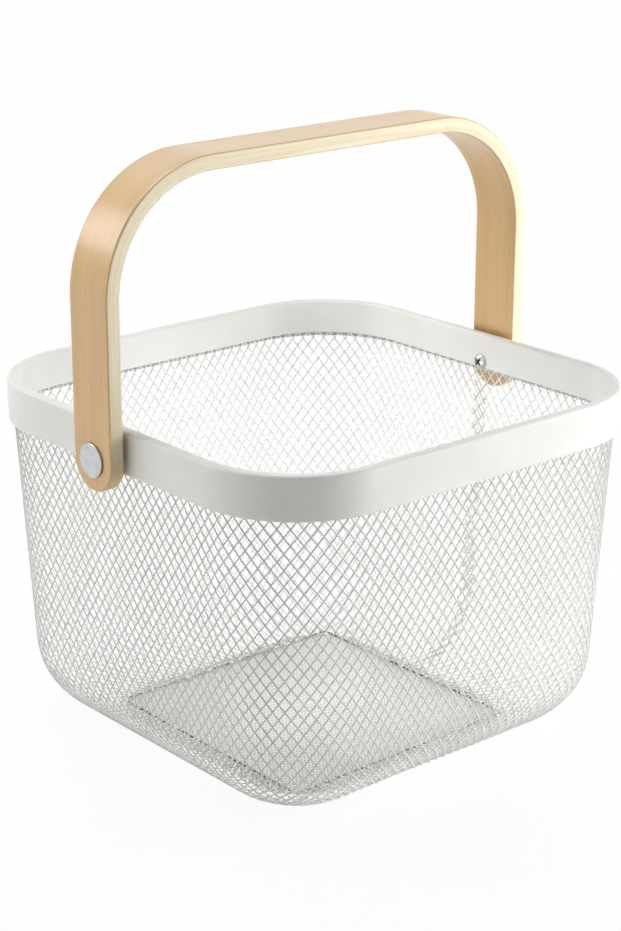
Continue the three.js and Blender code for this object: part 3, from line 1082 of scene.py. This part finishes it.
@dataclass
class Pivot:
    """One pivot: a capped barrel nut outside, a pan-head screw inside, and a spacer washer."""

    side: Side
    height: float
    leg_face: float
    cap_face: float
    cap_radius: float
    screw_face: float
    screw_radius: float
    leaf_face: float
    band_face: float
    washer_face: float
    washer_radius: float
    barrel: float = 3.0 * MM
    shank: float = 2.0 * MM
    cap_dome: float = 0.75 * MM
    cap_edge: float = 0.25 * MM
    dome_points: int = 14
    rim_steps: int = 5
    cross_width: float = 1.1 * MM
    cross_length: float = 4.4 * MM
    cross_depth: float = 1.1 * MM
    cross_soft: float = 0.25 * MM
    cross_turn: float = 40.0  # degrees
    pan_power: float = 2.6  # 2 would be a round head, more is flatter
    head_rings: int = 34
    head_steps: int = 96
    washer_round: float = 0.35 * MM
    washer_play: float = 0.1 * MM
    washer_steps: int = 4

    @property
    def centre(self) -> Tuple[float, float]:
        """Where the pivot's line runs: y and z."""
        return 0.0, self.height

    def cap(self) -> Tuple[Array, Array]:
        """The cap: a shallow dome, a rounded rim, a flat seat and the barrel behind it.

        The dome falls with the square of the radius, from its crown to its shoulder.

        Returns:
            Points and triangles.
        """
        shoulder = self.cap_radius - self.cap_edge
        base = self.cap_face - self.cap_dome
        radius = np.linspace(0, shoulder, self.dome_points)
        crown = np.stack([radius, base + self.cap_dome * (1 - (radius / shoulder) ** 2)], axis=-1)
        rim = arc((shoulder, base - self.cap_edge), self.cap_edge, 90, 0, self.rim_steps)
        seat = np.array([[self.cap_radius, self.leg_face], [self.barrel, self.leg_face]])
        barrel = np.array([[self.barrel, self.band_face], [0.0, self.band_face]])
        return turned(np.concatenate([crown, rim, seat, barrel]), self.centre, self.side)

    def cross(self, flat: Array) -> Array:
        """How deep the cross recess is, 0 to 1: the larger of two slots' masks, eased at sides and ends.

        Args:
            flat: places on the head, two numbers each.

        Returns:
            The depth at each place.
        """
        tilt, soft = math.radians(self.cross_turn), self.cross_soft
        spun = flat @ np.array([[math.cos(tilt), -math.sin(tilt)], [math.sin(tilt), math.cos(tilt)]])
        near = np.clip((self.cross_width / 2 - np.abs(spun)) / soft + 0.5, 0, 1)
        far = np.clip((self.cross_length / 2 - np.abs(spun)) / (2 * soft) + 0.5, 0, 1)
        mask = np.maximum(near[..., 0] * far[..., 1], near[..., 1] * far[..., 0])
        return mask * mask * (3 - 2 * mask)

    def screw(self) -> Tuple[Array, Array, Array]:
        """The screw: a pan head with a cross recess, and a plain shank.

        The head's face is a flattened dome, its rise times (1 - (radius / head radius)^power)^(1/2),
        less the depth of the recess.

        Returns:
            Points, triangles, and how deep in the recess each point is, 0 to 1.
        """
        angle = around(self.head_steps)
        circle = np.stack([np.cos(angle), np.sin(angle)], axis=-1)
        radius = np.linspace(0, self.screw_radius, self.head_rings)[:, None]
        flat = radius[..., None] * circle
        mask = self.cross(flat)
        fall = np.maximum(1 - (radius / self.screw_radius) ** self.pan_power, 0)
        dome = (self.leaf_face - self.screw_face) * np.sqrt(fall) + 0 * angle
        along = self.leaf_face - dome + self.cross_depth * mask
        head = np.concatenate([along[..., None], flat], axis=-1)
        back = np.array([[self.leaf_face, self.shank], [self.band_face, self.shank], [self.band_face, 0.0]])
        behind = np.broadcast_to(back[:, None, :1], (len(back), self.head_steps, 1))
        shank = np.concatenate([behind, back[:, None, 1:] * circle], axis=-1)
        grid = np.concatenate([head, shank]) * (self.side.value, self.side.value, 1) + (0, *self.centre)
        faces = quad_grid(len(grid), self.head_steps, False, True)
        points, triangles, kept = weld(grid.reshape(-1, 3), faces)
        recess = np.concatenate([mask, np.zeros((len(back), self.head_steps))]).reshape(-1)
        return points, facing_out(points, triangles), recess[kept]

    def washer(self) -> Tuple[Array, Array]:
        """The spacer: a flat ring with rounded rims.

        Returns:
            Points and triangles.
        """
        soft = self.washer_round
        inner, outer = self.band_face, self.washer_face
        rim = self.washer_radius - soft
        bore = self.barrel + self.washer_play
        low = arc((rim, inner + soft), soft, -90, 0, self.washer_steps)
        high = arc((rim, outer - soft), soft, 0, 90, self.washer_steps)
        ends = np.array([[bore, outer], [bore, inner]])
        return turned(np.concatenate([low, high, ends, low[:1]]), self.centre, self.side)

    def build(self, steel: bpy.types.Material, nylon: bpy.types.Material) -> None:
        """Makes the cap, the screw and the washer.

        Args:
            steel: the finish of the cap and the screw.
            nylon: the finish of the washer.
        """
        name = self.side.name.lower()
        metal = (steel, Body.BASKET, Slot.BRIGHT_STEEL)
        add_piece(f"{name}_cap", *self.cap(), *metal, [f"{name}_cap_nut"])
        points, triangles, recess = self.screw()
        screw = add_piece(f"{name}_pan_screw", points, triangles, *metal, [f"{name}_screw"])
        add_attribute(screw, "recess", recess)
        spacer = [f"{name}_spacer_washer"]
        add_piece(f"{name}_spacer", *self.washer(), nylon, Body.BASKET, Slot.NYLON, spacer)


# Studio


def link(name: str, data: bpy.types.ID, matrix: Matrix) -> bpy.types.Object:
    """Adds a lamp, a camera or a mesh to the scene.

    Args:
        name: the object's name.
        data: what it shows.
        matrix: its place and turn.

    Returns:
        The new object.
    """
    made = bpy.data.objects.new(name, data)
    made.matrix_world = matrix
    bpy.context.scene.collection.objects.link(made)
    return made


def facing(way: Vector) -> Matrix:
    """The turn of a lamp or a camera that stands in a direction and looks back along it."""
    return way.to_track_quat("Z", "Y").to_matrix().to_4x4()


@dataclass
class SoftBox:
    """A square lamp that looks at one spot, out of the camera's sight."""

    name: str
    target: Vector
    direction: Triple
    distance: float
    size: float
    watts: float
    spread: float = 180.0  # degrees
    glossy: bool = True

    def build(self) -> None:
        """Hangs the lamp in its direction from the target."""
        data = bpy.data.lights.new(self.name, "AREA")
        data.shape = "SQUARE"
        data.size = self.size
        data.energy = self.watts
        data.spread = math.radians(self.spread)
        way = Vector(self.direction).normalized()
        lamp = link(self.name, data, Matrix.Translation(self.target + way * self.distance) @ facing(way))
        lamp.visible_camera = False
        lamp.visible_glossy = self.glossy


@dataclass
class Studio:
    """The pale floor, the soft light and the camera at the photograph's angle."""

    target: Vector
    azimuth: float = -40.81  # degrees
    elevation: float = 19.0
    roll: float = 0.14
    distance: float = 1098.9 * MM
    focal_pixels: float = 2204.47
    centre: Tuple[float, float] = (312.24, 467.9)  # pixels
    sensor: float = 36.0  # millimetres
    clip_start: float = 0.05
    ambient: float = 0.05
    sun_direction: Triple = (0.25, 0.10, 1.0)
    sun_strength: float = 0.20
    sun_angle: float = 70.0  # degrees
    inner_target: Triple = (0.085, 0.06, 0.10)
    foot_target: Triple = (0.03, -0.09, 0.025)
    floor_reach: float = 14.0
    floor_dark: Colour = (0.93, 0.93, 0.93)
    floor_pale: Colour = (0.95, 0.95, 0.95)
    near_glow: float = 0.89  # within shadow_near of the middle
    far_glow: float = 0.985  # beyond shadow_far
    shadow_near: float = 0.22
    shadow_far: float = 0.75

    def seen(self, graph: Graph) -> Signal:
        """1 for rays that look at the scene, straight, in a reflection or through glass."""
        kinds = ("Is Camera Ray", "Is Glossy Ray", "Is Transmission Ray")
        straight, mirrored, through = (graph.node("ShaderNodeLightPath", output=kind) for kind in kinds)
        return straight + mirrored + through

    def world(self) -> None:
        """White to look at, and a dim even light on the object."""
        world = bpy.data.worlds.new("studio")
        bpy.context.scene.world = world
        world.use_nodes = True
        graph = Graph(world.node_tree)
        strength = self.ambient + (1 - self.ambient) * self.seen(graph)
        inputs = {"Color": (1.0, 1.0, 1.0, 1.0), "Strength": strength}
        sky = graph.node("ShaderNodeBackground", None, inputs)
        graph.node("ShaderNodeOutputWorld", None, {"Surface": sky})

    def floor(self) -> None:
        """A wide pale floor, white to look at, that keeps the object's shadow near it."""
        material, graph = new_material("pale_floor")
        place = graph.place()
        colour = graph.mix(graph.noise(place, 3.0, 2.0), self.floor_dark, self.floor_pale)
        plain = graph.node("ShaderNodeBsdfDiffuse", None, {"Color": colour})
        glow = graph.node("ShaderNodeEmission", None, {"Color": (1.0, 1.0, 1.0, 1.0), "Strength": 1.0})
        away = graph.ramp(graph.length(place), self.shadow_near, self.shadow_far)
        share = self.seen(graph) * (self.near_glow + (self.far_glow - self.near_glow) * away)
        graph.surface(graph.node("ShaderNodeMixShader", None, {0: share, 1: plain, 2: glow}))
        corners = self.floor_reach * np.array([[-1, -1, 0], [1, -1, 0], [1, 1, 0], [-1, 1, 0]])
        mesh = bpy.data.meshes.new("floor")
        mesh.from_pydata(corners.tolist(), [], [(0, 1, 2, 3)])
        mesh.materials.append(material)
        link("floor", mesh, Matrix.Identity(4))

    def lights(self) -> None:
        """Soft boxes at the sides, behind, inside and by the foot, and a wide light from above."""
        spot, inside, foot = self.target, Vector(self.inner_target), Vector(self.foot_target)
        boxes = (
            SoftBox("right_box", spot, (0.71, -0.65, 0.19), distance=0.95, size=0.66, watts=8.8),
            SoftBox("left_box", spot, (-0.94, 0.25, 0.24), distance=1.0, size=0.66, watts=2.65, glossy=False),
            SoftBox("sheen_box", spot, (-0.60, 0.70, 0.54), distance=1.0, size=0.36, watts=1.5),
            SoftBox(
                "foot_box", foot, (0.45, -0.88, 0.07), distance=0.55, size=0.12, watts=0.056, spread=30.0
            ),
            SoftBox("back_box", spot, (-0.10, 0.35, 0.93), distance=1.6, size=1.0, watts=16.0),
            SoftBox(
                "inner_box", inside, (-0.80, -0.60, 0.05), distance=0.19, size=0.10, watts=0.092, spread=130.0
            ),
        )
        for box in boxes:
            box.build()
        data = bpy.data.lights.new("overhead", "SUN")
        data.energy = self.sun_strength
        data.angle = math.radians(self.sun_angle)
        link("overhead", data, facing(Vector(self.sun_direction)))

    def camera(self) -> None:
        """The camera, with its middle where the photograph has it."""
        turn, tilt = math.radians(self.azimuth), math.radians(self.elevation)
        back = Vector((math.sin(turn) * math.cos(tilt), -math.cos(turn) * math.cos(tilt), math.sin(tilt)))
        data = bpy.data.cameras.new("camera")
        data.sensor_width = self.sensor
        data.lens = self.focal_pixels / PHOTO_HEIGHT * self.sensor
        data.shift_x = (PHOTO_WIDTH / 2 - self.centre[0]) / PHOTO_HEIGHT
        data.shift_y = (self.centre[1] - PHOTO_HEIGHT / 2) / PHOTO_HEIGHT
        data.clip_start = self.clip_start
        look = facing(back) @ Matrix.Rotation(math.radians(self.roll), 4, "Z")
        spot = Matrix.Translation(self.target + back * self.distance)
        bpy.context.scene.camera = link("camera", data, spot @ look)

    def build(self) -> None:
        """Sets up everything round the object."""
        self.world()
        self.floor()
        self.lights()
        self.camera()
        bpy.context.scene.view_settings.view_transform = "Standard"


def main() -> None:
    """Builds the basket piece by piece, then the studio."""
    logging.basicConfig(level=logging.INFO, format="%(name)s: %(message)s")
    band_low, band_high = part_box("rim_band")
    base_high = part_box("base_wires_lower")[1]
    handle_low, handle_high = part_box("handle")
    cap_low, cap_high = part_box("right_cap_nut")
    screw_low, screw_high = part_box("right_screw")
    washer_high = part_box("right_spacer_washer")[1]

    band_coat = PowderCoat("powder_coat").material()
    # painted shade: the walls and the base carry the band's white coat, given here as darker copies that
    # stand for the shade on the thin wires
    shaded_wall_coat = PowderCoat("shaded_wall_coat", pale=(0.635, 0.635, 0.615), dull=(0.575, 0.575, 0.555)).material()
    shaded_base_coat = PowderCoat("shaded_base_coat", pale=(0.76, 0.76, 0.74), dull=(0.70, 0.70, 0.675)).material()
    cut = SeamCoat("cut_edge").material()
    rim = RimBand(half=band_high.x, top=band_high.z, bottom=band_low.z)
    rim.build(band_coat)
    wall = MeshWall(rim_half=band_high.x, rim_top=band_high.z, band_bottom=band_low.z, base_half=base_high.x)
    wall.build(shaded_wall_coat, cut)
    MeshBase(half=base_high.x).build(shaded_base_coat)

    handle = BentHandle(
        half_span=handle_high.x, half_width=handle_high.y, top=handle_high.z, bottom=handle_low.z
    )
    handle.build(BentBirch("bent_birch", handle.thickness, handle.total).material())

    height = (cap_low.z + cap_high.z) / 2
    steel = PlatedSteel("plated_steel", (0.0, 0.0, height)).material()
    nylon = GreyNylon("grey_nylon").material()
    for side in Side:
        Pivot(
            side=side,
            height=height,
            leg_face=handle_high.x,
            cap_face=cap_high.x,
            cap_radius=cap_high.y,
            screw_face=screw_low.x,
            screw_radius=screw_high.y,
            leaf_face=band_high.x - rim.fold,
            band_face=band_high.x,
            washer_face=washer_high.x,
            washer_radius=washer_high.y,
        ).build(steel, nylon)

    Studio(target=Vector((0.0, 0.0, band_high.z - LOOK_DROP))).build()


if __name__ == "__main__":
    main()
